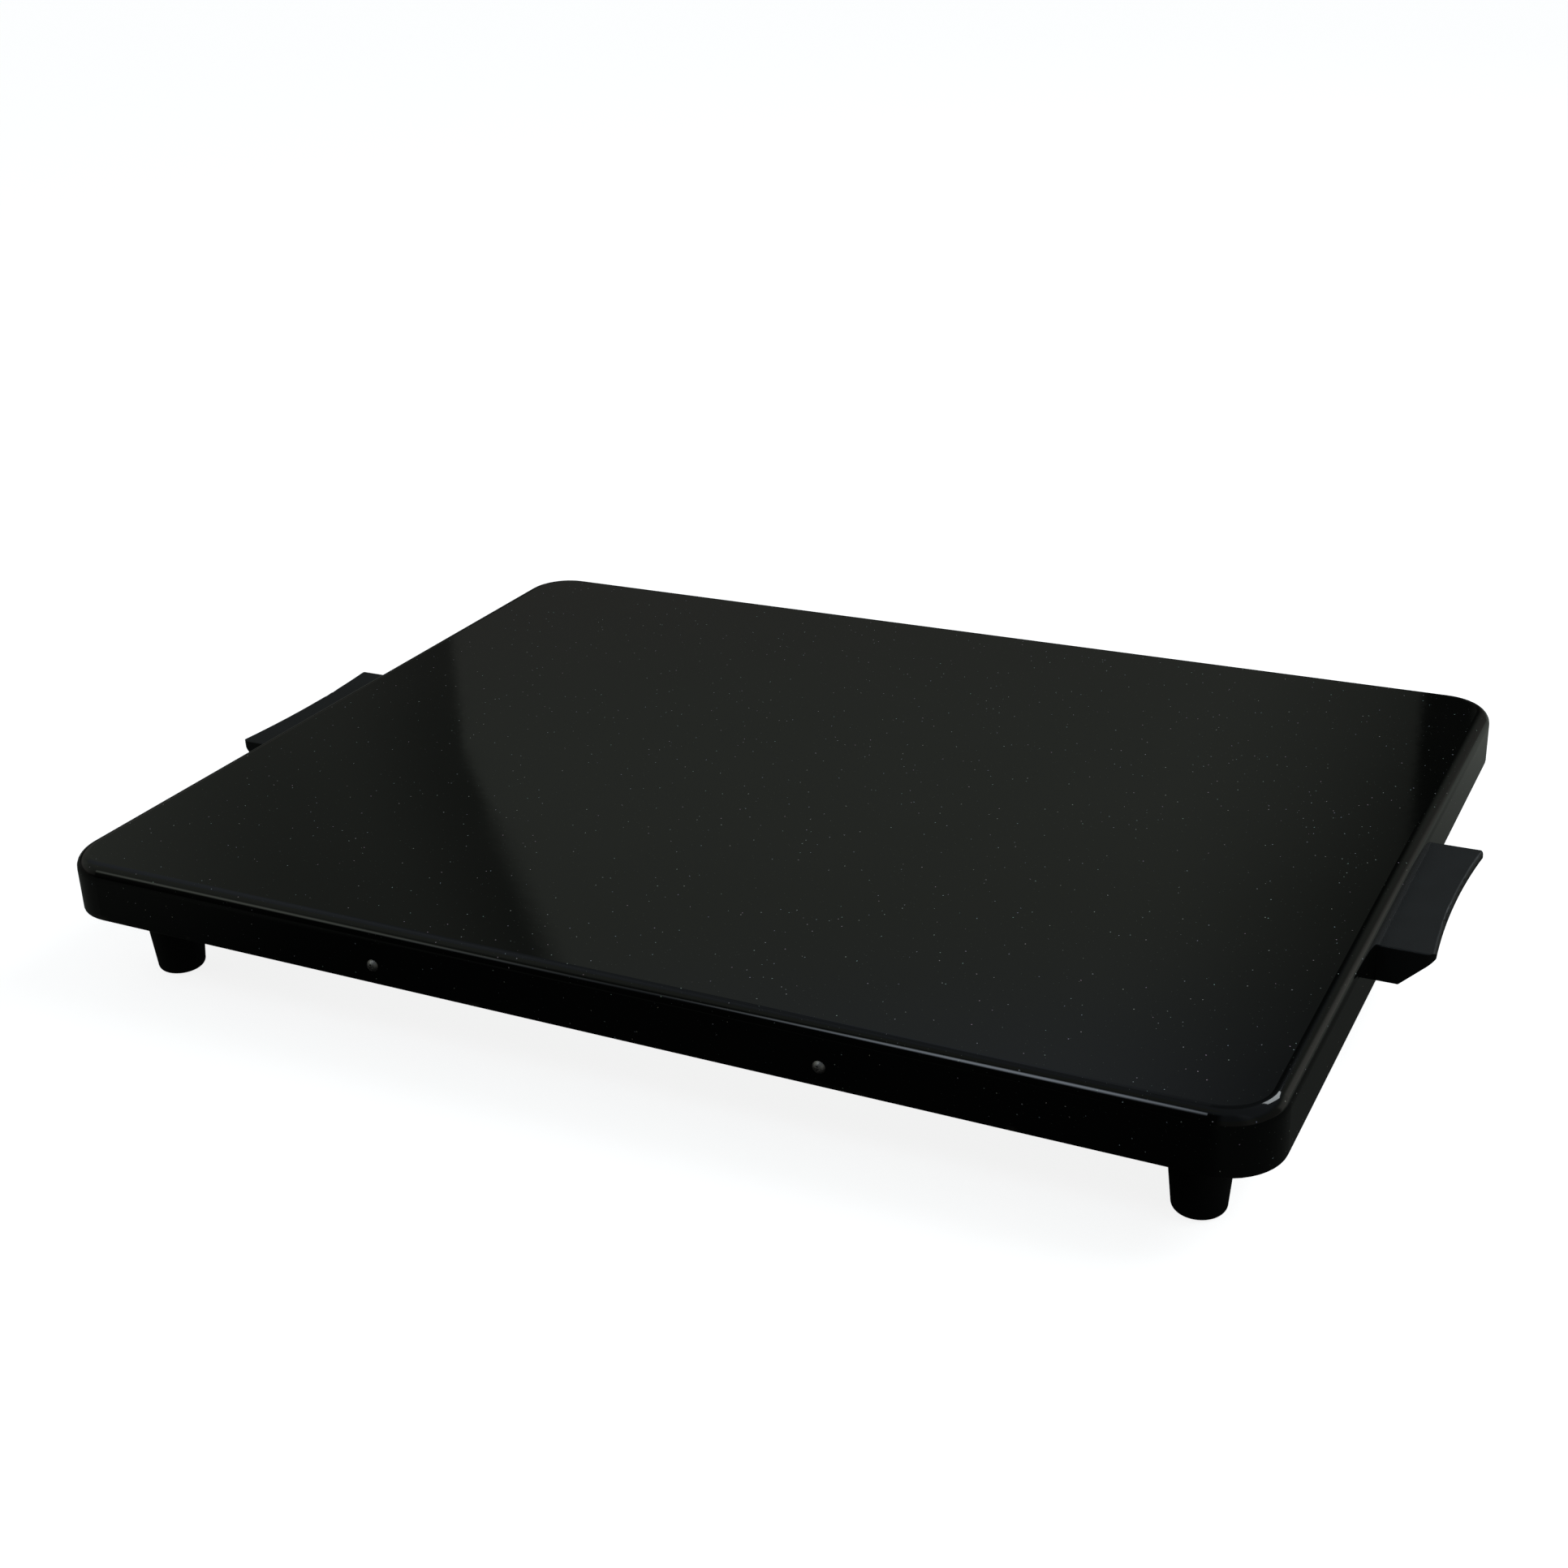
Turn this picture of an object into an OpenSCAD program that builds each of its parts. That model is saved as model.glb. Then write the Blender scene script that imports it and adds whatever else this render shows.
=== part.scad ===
// Flat electric warming plate: an enamelled steel pan on four feet, with a moulded handle at each
// short end and a mica heating element clamped under its top.
// The origin is on the surface it stands on, under the middle of the plate; the front faces -Y.

/* [Plate] */
// Length of the plate, along X
plate_l = 600; // [480:5:720]
// Width of the plate, along Y
plate_w = 456; // [380:4:560]
// Height of the pressed pan, from its hem to its top
skirt_h = 28.5; // [26.5:0.5:34]
// Thickness of the pan's sheet
plate_t = 1.2; // [0.8:0.1:1.6]
// Plan radius of the pan's corners
corner_r = 26; // [18:1:34]
// Radius of the rounded top edge
edge_r = 7; // [4:0.5:8]
// Radius of the hem, curled inwards along the lower edge
hem_r = 1; // [0.8:0.1:1.2]

/* [Feet] */
// Height of the pan's hem above the surface
foot_h = 40.5; // [32:1:55]
// Distance from the plate's sides to each foot's centre
foot_inset = 37; // [34:0.5:45]
// Radius of a foot at the pan's hem
foot_top_r = 15; // [12:0.5:18]
// Radius of a foot near its base
foot_base_r = 11.6; // [9:0.2:12]
// Rounding round a foot's base
foot_round = 3; // [1:0.5:4]
// Radius of the recess for the foot screw
foot_bore_r = 5.5; // [5.2:0.1:6]
// Height of the screw's seat inside the foot
foot_seat_h = 30; // [20:1:34]

/* [Handles] */
// Length of a handle, along Y
handle_l = 112; // [90:1:140]
// Reach of a handle at its two ends
handle_reach = 25; // [20:0.5:32]
// How far the grip's outer face curves in at its middle
handle_scoop = 3; // [2:0.5:5]
// Height of the handle's front lip
handle_lip = 3; // [2.5:0.5:5]
// Height of a handle
handle_h = 17.5; // [15:0.5:19]
// Reach of the handle's lower edge
handle_foot = 10; // [8:0.5:12]
// Distance from the plate's top down to the handle's top
handle_drop = 9; // [8:0.5:11]
// Wall of the moulding
handle_wall = 2.2; // [1.6:0.2:2.8]
// Distance between a handle's two screws
handle_pitch = 70; // [50:2:80]

/* [Element] */
// Number of runs in the heating ribbon, an even number
ribbon_runs = 34; // [24:2:36]
// Width of the ribbon
ribbon_w = 7; // [5:0.5:8]
// Thickness of the ribbon
ribbon_t = 0.3; // [0.2:0.1:0.4]
// Thickness of each mica sheet
mica_t = 0.5; // [0.4:0.1:0.8]
// Thickness of the aluminium heat spreader
spreader_t = 1.5; // [1:0.1:2]
// Thickness of the clamp plate
clamp_t = 1; // [0.8:0.1:1.2]
// Depth of the clamp plate's stiffening flange
clamp_flange = 4; // [3:0.5:4.5]
// Distance from the plate's sides to the clamp plate
clamp_inset = 30; // [28:1:36]

/* [Base] */
// Thickness of the base cover
base_t = 0.8; // [0.6:0.1:1]
// How far the base cover sits above the hem
base_recess = 2; // [2:0.5:3]
// Height of the base cover's flange
base_flange = 12.5; // [11.5:0.5:14]
// Gap between the cover's flange and the skirt
base_gap = 0.6; // [0.5:0.1:0.9]
// Distance between the two screws in each long side
cover_pitch = 224; // [180:4:260]
// Radius of a cover screw's shank
cover_screw_r = 1.75; // [1.5:0.05:2]
// Number of vent slots behind the blanket
vent_count = 14; // [6:1:16]

/* [Wiring] */
// Outer radius of a lead
lead_r = 1.3; // [1:0.1:1.4]
// Radius of the cord's way through the gland
cord_r = 3.4; // [3:0.1:3.6]
// Distance of the gland from the plate's middle, along X
gland_x = 180; // [170:2:200]

/* [Hidden] */

$fn = 64;
eps = 0.01;          // overshoot of a cutter past the face it cuts
run_gap = 0.05;      // radial gap of a screw in the hole that holds it
hole_gap = 0.4;      // radial gap of a screw in a clearance hole
sheet_gap = 0.5;     // radial gap of a stud through the stacked sheets

// Levels, from the top down
z_top = foot_h + skirt_h;
z_under = z_top - plate_t;
z_spreader = z_under - spreader_t;
z_mica_upper = z_spreader - mica_t;
z_ribbon = z_mica_upper - ribbon_t;
z_mica_lower = z_ribbon - mica_t;
z_clamp = z_mica_lower - clamp_t;
z_base = foot_h + base_recess;
z_floor = z_base + base_t;
z_fix = z_base + 7.6;             // level of every screw through the skirt
z_handle = z_top - handle_drop - handle_h;

// Fasteners of the M4 size
m4_r = 2;
m4_washer_r = 4.5;
m4_washer_t = 0.8;
m4_nut_af = 7;
m4_nut_h = 3.2;
m4_head_r = 3.8;
m4_head_h = 2.4;
stud_end = 1.2;      // length of a stud past its nut
m3_r = 1.5;
m3_nut_af = 5.5;
m3_nut_h = 2.4;
cross_w = 0.9;       // width of a cross recess
cross_share = 0.55;  // depth of a cross recess as a share of its head

// Feet
foot_x = plate_l / 2 - foot_inset;
foot_y = plate_w / 2 - foot_inset;
foot_screw_r = m4_r;

// Handles
scoop_r = (pow(handle_l / 2, 2) + pow(handle_scoop, 2)) / (2 * handle_scoop);
handle_edge_r = 1.5;
handle_corner_r = 4;
handle_end_r = 1;
handle_slope = handle_reach - handle_foot;
handle_rise = handle_h - handle_lip;
slope_shift = handle_wall * sqrt(pow(handle_slope, 2) + pow(handle_rise, 2)) / handle_rise;
boss_r = 4.6;
insert_r = 2.8;
insert_l = 7;
handle_screw_l = 8;

// Element
ribbon_inset = clamp_inset + 18;
ribbon_span = plate_l - 2 * ribbon_inset;
ribbon_pitch = (ribbon_span - ribbon_w) / (ribbon_runs - 1);
ribbon_front = -plate_w / 2 + ribbon_inset;
ribbon_rear = plate_w / 2 - ribbon_inset - 15;   // the rear bends stay clear of the end pads
terminal_x = ribbon_pitch * (ribbon_runs - 1) / 2;
terminal_y = ribbon_rear + 7;
stud_columns = [for (share = [-0.4, -0.15, 0.15, 0.4]) round(share * ribbon_runs) * ribbon_pitch];
stud_rows = [for (share = [-0.3, 0, 0.3]) share * plate_w];
spreader_inset = clamp_inset - 8;
mica_inset = clamp_inset + 6;
sheet_corner_r = 12;
z_stud = z_clamp - m4_washer_t - m4_nut_h - stud_end;

// Blanket
blanket_inset = foot_inset + 18;
blanket_rear = terminal_y - 22;
blanket_gap = 2.3;
blanket_top = z_stud - blanket_gap;

// Heater terminals
bush_r = 5;
bush_flange_r = 7.5;
bush_flange_t = 2;
bush_top_r = 4.5;
lug_t = 0.8;
lug_r = 4;
lug_barrel_r = 1.9;
lug_barrel_l = 6;
lug_reach = 11;      // from the ring's centre to the barrel's end
z_terminal_nut = z_clamp - bush_flange_t - m4_nut_h;
z_terminal_lug = z_terminal_nut - lug_t;
z_terminal_end = z_terminal_lug - m4_nut_h - 1;

// Limiter, a sealed disc thermostat on the clamp plate's underside
limiter_x = 60;
limiter_y = terminal_y;
limiter_case_r = 8;
limiter_case_h = 4;
limiter_wall = 0.6;
limiter_body_r = 7.3;
limiter_body_h = 7.5;
limiter_pitch = 24;
blade_w = 6.3;
blade_t = 0.8;
blade_l = 15;        // from the limiter's middle to a blade's tip
receptacle_l = 7;
receptacle_h = 2.8;
receptacle_barrel_l = 5;
z_limiter = z_clamp - limiter_body_h - limiter_wall;
z_blade = z_limiter - blade_t;

// Terminal block
block_x = 140;
block_y = terminal_y + 18;
block_l = 32;
block_w = 18;
block_h = 12.5;
block_pitch = 10;
tube_r = 2.5;
tube_bore_r = lead_r + run_gap;
tube_level = 5.5;
clamp_screw_r = 1.25;
clamp_screw_y = 5;
block_front = block_y - block_w / 2;
z_tube = z_floor + tube_level;

// Gland
barrel_r = 5;
barrel_l = 12;
gland_flange_af = 15;
gland_flange_t = 2;
gland_nut_af = 13;
gland_nut_t = 3;
gland_cap_r = 7;
gland_cap_l = 4.5;
gland_neck_l = 3.2;
seal_r = 4.2;
seal_l = 3;
z_gland = z_base + 8.25;

// Earth stud
earth_x = 85;
earth_y = plate_w / 2 - 16;
z_earth_lug = z_under - m4_nut_h - lug_t;

// Routes of the leads, as chosen points; the first and last meet the block, a lug or a blade
z_lie = z_floor + lead_r + 0.3;      // a lead lying on the base cover
z_push = z_blade + blade_t / 2;
z_crimp = z_terminal_lug + lug_t / 2;
z_earth_crimp = z_earth_lug + lug_t / 2;
wire_in = block_front + 6;           // how far a lead reaches into the block
push_x = blade_l + receptacle_barrel_l;
crimp_x = terminal_x - lug_reach;
earth_crimp_x = earth_x + lug_reach;
live_route = [
    [block_x, wire_in, z_tube], [block_x, block_front, z_tube], [block_x, block_front - 4, z_tube],
    [block_x - 6, block_front - 13, z_lie + 1], [block_x - 24, block_front - 17, z_lie + 0.3],
    [block_x - 42, block_front - 15, z_lie + 1.5],
    [limiter_x + push_x + 6, limiter_y, z_push], [limiter_x + push_x + 3, limiter_y, z_push],
    [limiter_x + push_x, limiter_y, z_push]];
link_route = [
    [limiter_x - push_x, limiter_y, z_push], [limiter_x - push_x - 3, limiter_y, z_push],
    [limiter_x - push_x - 6, limiter_y, z_push], [20, limiter_y + 4, z_lie + 2],
    [-10, limiter_y + 9, z_lie + 0.3], [-60, limiter_y + 12, z_lie], [-110, limiter_y + 8, z_lie],
    [-160, limiter_y + 4, z_lie], [-200, limiter_y - 1, z_lie + 1], [20 - crimp_x, limiter_y - 3, z_lie + 5],
    [6 - crimp_x, terminal_y, z_crimp], [3 - crimp_x, terminal_y, z_crimp], [-crimp_x, terminal_y, z_crimp]];
neutral_x = block_x + block_pitch;
neutral_route = [
    [neutral_x, wire_in, z_tube], [neutral_x, block_front, z_tube], [neutral_x, block_front - 4, z_tube],
    [neutral_x + 7, block_front - 12, z_lie + 1], [neutral_x + 25, block_front - 17, z_lie + 0.3],
    [neutral_x + 50, block_front - 17, z_lie + 0.5], [crimp_x - 18, block_front - 13, z_lie + 4],
    [crimp_x - 6, terminal_y, z_crimp], [crimp_x - 3, terminal_y, z_crimp], [crimp_x, terminal_y, z_crimp]];
earth_way_x = block_x - block_pitch;
earth_route = [
    [earth_way_x, wire_in, z_tube], [earth_way_x, block_front, z_tube],
    [earth_way_x, block_front - 3, z_tube], [earth_way_x - 4, block_front - 7, z_tube],
    [earth_way_x - 12, block_front - 6, z_tube], [earth_way_x - 18, block_front + 5, z_tube + 1],
    [earth_way_x - 20, earth_y - 11, z_tube + 4], [earth_crimp_x + 12, earth_y - 2, z_tube + 9],
    [earth_crimp_x + 6, earth_y, z_earth_crimp], [earth_crimp_x + 3, earth_y, z_earth_crimp],
    [earth_crimp_x, earth_y, z_earth_crimp]];

// ---- General shapes ----

// Sweeps a cross-section round a rounded rectangle: X is measured outwards from the corner's
// centre, and Y is height. The pieces meet face to face.
module sweep_round(l, w, r) {
    for (turn = [0:3]) {
        side = turn % 2 == 0 ? l : w;
        other = turn % 2 == 0 ? w : l;
        rotate([0, 0, 90 * turn]) translate([0, other / 2 - r, 0]) rotate([90, 0, 90])
            linear_extrude(side - 2 * r, center = true) children();
        rotate([0, 0, 90 * turn]) translate([side / 2 - r, other / 2 - r, 0])
            rotate_extrude(angle = 90) children();
    }
}

// A flat rectangle with rounded corners, standing on z = 0
module rounded_sheet(l, w, r, t) {
    linear_extrude(t) union() {
        square([l - 2 * r, w], center = true);
        square([l, w - 2 * r], center = true);
        for (x = [-1, 1], y = [-1, 1])
            translate([x * (l / 2 - r), y * (w / 2 - r)]) circle(r);
    }
}

// A wall with a bend of outer radius r on top of it; the outer face is at x = reach
module bent_edge(reach, height, r, t) {
    square([reach - r, t]);
    translate([reach - r, r]) intersection() {
        difference() { circle(r); circle(r - t); }
        translate([0, -r]) square(r);
    }
    translate([reach - t, r]) square([t, height - r]);
}

module hex(af, h) { cylinder(r = af / sqrt(3), h = h, $fn = 6); }

module nut(af, r, h) {
    difference() {
        hex(af, h);
        translate([0, 0, -eps]) cylinder(r = r + run_gap, h = h + 2 * eps);
    }
}

module washer(r_out, r_in, t) {
    difference() {
        cylinder(r = r_out, h = t);
        translate([0, 0, -eps]) cylinder(r = r_in, h = t + 2 * eps);
    }
}

// A domed screw along +Z: the head's seat is at z = 0, the shank goes down
module dome_screw(r, l, head_r, head_h) {
    ball_r = (pow(head_r, 2) + pow(head_h, 2)) / (2 * head_h);
    difference() {
        intersection() {
            translate([0, 0, head_h - ball_r]) sphere(ball_r);
            cylinder(r = head_r * 1.2, h = head_h * 1.2);
        }
        for (turn = [0, 90]) rotate([0, 0, turn])
            translate([0, 0, head_h * (1 - cross_share / 2) + eps])
                cube([head_r * 1.05, cross_w, head_h * cross_share], center = true);
    }
    translate([0, 0, -l]) cylinder(r = r, h = l);
}

module at_feet() {
    for (x = [-1, 1], y = [-1, 1]) translate([x * foot_x, y * foot_y, 0]) children();
}

module at_studs() {
    for (x = stud_columns, y = stud_rows) translate([x, y, 0]) children();
}

// The four screws through the long sides of the skirt; +Z points out of the skirt
module at_cover_screws() {
    for (side = [0, 180], x = [-1, 1])
        rotate([0, 0, side]) translate([x * cover_pitch / 2, -plate_w / 2, z_fix])
            rotate([90, 0, 0]) children();
}

// The four handle screws, on the skirt's outer face; +Z points out of the skirt
module at_handle_screws() {
    for (side = [0, 180], y = [-1, 1])
        rotate([0, 0, side]) translate([plate_l / 2, y * handle_pitch / 2, z_fix])
            rotate([0, 90, 0]) children();
}

// The gland's axis, from the skirt's outer face; +Z points out of the rear
module at_gland() {
    translate([gland_x, plate_w / 2, z_gland]) rotate([-90, 0, 0]) children();
}

module at_terminals() {
    for (x = [-1, 1]) translate([x * terminal_x, terminal_y, 0]) children();
}

// ---- Leads ----

function unit(v) = v / norm(v);
function across(v, t) = unit(v - (v * t) * t);
function curve_point(a, b, c, d, t) =
    0.5 * (2 * b + (c - a) * t + (2 * a - 5 * b + 4 * c - d) * t * t
        + (3 * b - a - 3 * c + d) * t * t * t);
// A smooth line through the route's points, with steps pieces between each two
function smooth_line(p, steps) = let (n = len(p)) concat(
    [for (i = [0:n - 2], k = [0:steps - 1])
        curve_point(p[max(i - 1, 0)], p[i], p[i + 1], p[min(i + 2, n - 1)], k / steps)],
    [p[n - 1]]);
function direction(p, i) = unit(p[min(i + 1, len(p) - 1)] - p[max(i - 1, 0)]);

// A round tube along a route, with one ring of points at each step
module tube(route, r, sides, steps) {
    line = smooth_line(route, steps);
    n = len(line);
    ups = [for (i = 0, up = across([0, 0, 1], direction(line, 0)); i < n;
        i = i + 1, up = i < n ? across(up, direction(line, i)) : up) up];
    points = [for (i = [0:n - 1], k = [0:sides - 1])
        let (up = ups[i], right = cross(direction(line, i), up))
        line[i] + r * (cos(360 * k / sides) * up + sin(360 * k / sides) * right)];
    walls = [for (i = [0:n - 2], k = [0:sides - 1]) let (next = (k + 1) % sides)
        [i * sides + k, (i + 1) * sides + k, (i + 1) * sides + next, i * sides + next]];
    ends = [[for (k = [0:sides - 1]) k], [for (k = [sides - 1:-1:0]) (n - 1) * sides + k]];
    polyhedron(points, concat(walls, ends), convexity = 6);
}

module lead(route) { tube(route, lead_r, 8, 4); }

// A crimped ring terminal: the ring's centre is at the origin, the barrel points along +X
module ring_lug() {
    difference() {
        union() {
            cylinder(r = lug_r, h = lug_t);
            translate([0, -lug_barrel_r * 0.8, 0])
                cube([lug_reach - lug_barrel_l + eps, lug_barrel_r * 1.6, lug_t]);
            translate([lug_reach - lug_barrel_l, 0, lug_t / 2]) rotate([0, 90, 0])
                cylinder(r = lug_barrel_r, h = lug_barrel_l);
        }
        translate([0, 0, -eps]) cylinder(r = m4_r + run_gap, h = lug_t + 2 * eps);
    }
}

// ---- Casing ----

// The pan's cross-section, from the corner's centre outwards
module pan_section() {
    translate([0, z_top]) mirror([0, 1])
        bent_edge(corner_r, skirt_h - hem_r, edge_r, plate_t);
    translate([corner_r - hem_r, foot_h + hem_r]) circle(hem_r, $fn = 32);
}

// The pressed and enamelled pan: its top is the warming surface
module plate_pan() {
    color("#161716") difference() {
        union() {
            sweep_round(plate_l, plate_w, corner_r) pan_section();
            translate([0, 0, z_under + plate_t / 2])
                cube([plate_l - 2 * corner_r, plate_w - 2 * corner_r, plate_t], center = true);
        }
        at_cover_screws() cutter(cover_screw_r + hole_gap);
        at_handle_screws() cutter(m4_r + hole_gap);
        at_gland() cutter(barrel_r + hole_gap / 2);
    }
}

// A short round cutter through the skirt, from just outside it to just inside
module cutter(r) { translate([0, 0, -2 * plate_t]) cylinder(r = r, h = 3 * plate_t); }

// An open-topped notch in the cover's flange, centred on a screw's axis
module notch(half_w, level) {
    translate([-half_w, -level, -8])
        cube([2 * half_w, level + base_flange, 8]);
}

module base_cover() {
    reach = corner_r - plate_t - base_gap;
    l = plate_l - 2 * (plate_t + base_gap);
    w = plate_w - 2 * (plate_t + base_gap);
    vent_span = plate_l - 2 * blanket_inset - 230;
    color("#5c5f60") difference() {
        union() {
            sweep_round(l, w, reach) translate([0, z_base]) bent_edge(reach, base_flange, 3, base_t);
            translate([0, 0, z_base + base_t / 2])
                cube([l - 2 * reach, w - 2 * reach, base_t], center = true);
        }
        at_cover_screws() translate([0, 0, -plate_t - 5])
            cylinder(r = cover_screw_r + run_gap, h = 5);
        for (side = [0, 180], y = [-1, 1])
            rotate([0, 0, side]) translate([plate_l / 2, y * handle_pitch / 2, z_fix])
                rotate([90, 0, 90]) notch(m4_washer_r + 1.2, m4_washer_r + 0.5);
        translate([gland_x, plate_w / 2, z_gland]) rotate([90, 0, 180])
            notch(gland_nut_af / 2 + 1.2, gland_nut_af / 2 + 0.2);
        at_feet() translate([0, 0, z_base - eps])
            cylinder(r = foot_screw_r + hole_gap, h = base_t + 2 * eps);
        for (x = [-1, 1]) translate([block_x + x * block_pitch / 2, block_y, z_base - eps])
            cylinder(r = clamp_screw_r + run_gap, h = base_t + 2 * eps);
        for (k = [0:vent_count - 1])
            translate([-vent_span * 0.78 + k * vent_span / (vent_count - 1), terminal_y, z_base + base_t / 2])
                cube([3, 26, base_t + 2 * eps], center = true);
    }
}

// Domed screws that hold the cover's flange to the skirt
module cover_screws() {
    color("#8a8c8c") at_cover_screws() dome_screw(cover_screw_r, 8, 3, 1.9);
}

// ---- Feet ----

module foot() {
    top = z_base;
    slope = (foot_top_r - foot_base_r) / (foot_h - foot_round);
    top_r = foot_base_r + slope * (top - foot_round);
    color("#141414") difference() {
        rotate_extrude() {
            polygon([[0, 0], [foot_base_r - foot_round, 0], [foot_base_r, foot_round],
                [top_r, top], [0, top]]);
            translate([foot_base_r - foot_round, foot_round]) intersection() {
                circle(foot_round);
                translate([0, -foot_round]) square(foot_round);
            }
        }
        translate([0, 0, -eps]) cylinder(r = foot_bore_r, h = foot_seat_h + eps);
        cylinder(r = foot_screw_r + hole_gap, h = top + eps);
    }
}

module foot_front_left() { translate([-foot_x, -foot_y, 0]) foot(); }
module foot_front_right() { translate([foot_x, -foot_y, 0]) foot(); }
module foot_rear_left() { translate([-foot_x, foot_y, 0]) foot(); }
module foot_rear_right() { translate([foot_x, foot_y, 0]) foot(); }

// Screws up through the feet; a washer spreads each head's load on its seat
module foot_screws() {
    shank = z_floor + m4_washer_t + m4_nut_h + stud_end - foot_seat_h + m4_washer_t;
    color("#a5a7a8") at_feet() translate([0, 0, foot_seat_h - m4_washer_t]) rotate([180, 0, 0])
        dome_screw(foot_screw_r, shank, m4_head_r, m4_head_h);
}

module foot_washers() {
    color("#b4b6b7") at_feet() for (z = [foot_seat_h - m4_washer_t, z_floor])
        translate([0, 0, z]) washer(m4_washer_r, foot_screw_r + hole_gap, m4_washer_t);
}

module foot_nuts() {
    color("#a5a7a8") at_feet() translate([0, 0, z_floor + m4_washer_t])
        nut(m4_nut_af, foot_screw_r, m4_nut_h);
}

// ---- Handles ----

// The grip's outline from its outer face inwards; Y is height above the handle's bottom
module grip_section(edge) {
    depth = handle_reach + handle_scoop + 10;
    polygon([[0, handle_lip_z()], [0, handle_h - edge], [edge, handle_h], [depth, handle_h],
        [depth, 0], [handle_slope, 0]]);
    if (edge > 0) translate([edge, handle_h - edge]) intersection() {
        circle(edge);
        translate([-edge, 0]) square(edge);
    }
}
function handle_lip_z() = handle_h - handle_lip;

// The grip curves in along a large arc, so its section turns about that arc's centre
module grip(edge, shift) {
    turn = 2 * asin(handle_l / 2 / scoop_r) + 4;
    translate([handle_reach - handle_scoop + scoop_r, 0, 0]) rotate([0, 0, 180 - turn / 2])
        rotate_extrude(angle = turn, $fn = 200) translate([scoop_r + shift, 0]) grip_section(edge);
}

// Rounds the two upper corners of a rectangle that stands on y = 0, centred on x = 0
module round_topped(l, h, r) {
    translate([-l / 2, 0]) square([l, h - r]);
    translate([-l / 2 + r, 0]) square([l - 2 * r, h]);
    for (x = [-1, 1]) translate([x * (l / 2 - r), h - r]) circle(r);
}

module handle_blank() {
    intersection() {
        grip(handle_edge_r, 0);
        linear_extrude(handle_h) rotate([0, 0, -90]) round_topped(handle_l, handle_reach, handle_corner_r);
        rotate([90, 0, 90]) linear_extrude(handle_reach) round_topped(handle_l, handle_h, handle_end_r);
    }
}

// The moulding is cored out from the side that meets the skirt
module handle_pocket() {
    intersection() {
        grip(0, slope_shift);
        translate([-eps, -handle_l / 2 + handle_wall, handle_wall])
            cube([handle_reach, handle_l - 2 * handle_wall, handle_h - 2 * handle_wall]);
    }
}

// A hollow moulded handle with two screw bosses and a middle rib; it points along +X
module handle() {
    color("#17191a") difference() {
        union() {
            difference() { handle_blank(); handle_pocket(); }
            intersection() {
                handle_blank();
                union() {
                    for (y = [-1, 1]) translate([0, y * handle_pitch / 2, z_fix - z_handle])
                        rotate([0, 90, 0]) cylinder(r = boss_r, h = handle_reach);
                    translate([0, -handle_wall / 2, 0]) cube([handle_reach, handle_wall, handle_h]);
                }
            }
        }
        for (y = [-1, 1]) translate([-eps, y * handle_pitch / 2, z_fix - z_handle]) rotate([0, 90, 0])
            cylinder(r = insert_r, h = insert_l + 2 + eps);
    }
}

module handle_right() { translate([plate_l / 2, 0, z_handle]) handle(); }
module handle_left() { rotate([0, 0, 180]) handle_right(); }

// Brass inserts moulded into the handles' bosses
module handle_inserts() {
    color("#b8923e") at_handle_screws() washer(insert_r, m4_r + run_gap, insert_l);
}

module handle_screws() {
    color("#a5a7a8") at_handle_screws() translate([0, 0, -plate_t - m4_washer_t]) rotate([180, 0, 0])
        dome_screw(m4_r, handle_screw_l, m4_head_r, m4_head_h);
}

module handle_washers() {
    color("#b4b6b7") at_handle_screws() translate([0, 0, -plate_t - m4_washer_t])
        washer(m4_washer_r, m4_r + hole_gap, m4_washer_t);
}

// ---- Element ----

module stack_sheet(inset, z, t) {
    difference() {
        translate([0, 0, z])
            rounded_sheet(plate_l - 2 * inset, plate_w - 2 * inset, sheet_corner_r, t);
        at_studs() translate([0, 0, z - eps]) cylinder(r = m4_r + sheet_gap, h = t + 2 * eps);
    }
}

// Evens out the heat over the pan's top
module heat_spreader() { color("#c3c6c8") stack_sheet(spreader_inset, z_spreader, spreader_t); }

module mica_upper() { color("#b49c74") stack_sheet(mica_inset, z_mica_upper, mica_t); }

module mica_lower() {
    color("#a98f66") difference() {
        stack_sheet(mica_inset, z_mica_lower, mica_t);
        at_terminals() translate([0, 0, z_mica_lower - eps])
            cylinder(r = bush_top_r + run_gap, h = mica_t + 2 * eps);
    }
}

// One ribbon that runs to and fro along Y, with both ends at the rear
module heating_ribbon() {
    run_l = ribbon_rear - ribbon_front;
    color("#8d8274") translate([0, 0, z_ribbon]) linear_extrude(ribbon_t) union() {
        for (k = [0:ribbon_runs - 1])
            translate([k * ribbon_pitch - terminal_x - ribbon_w / 2, ribbon_front])
                square([ribbon_w, run_l]);
        for (k = [0:ribbon_runs - 2])
            translate([k * ribbon_pitch - terminal_x - ribbon_w / 2,
                    k % 2 == 0 ? ribbon_front : ribbon_rear - ribbon_w])
                square([ribbon_pitch + ribbon_w, ribbon_w]);
        for (x = [-1, 1]) translate([x * terminal_x - ribbon_w / 2, ribbon_rear])
            square([ribbon_w, terminal_y - ribbon_rear + ribbon_w / 2]);
    }
}

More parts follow.
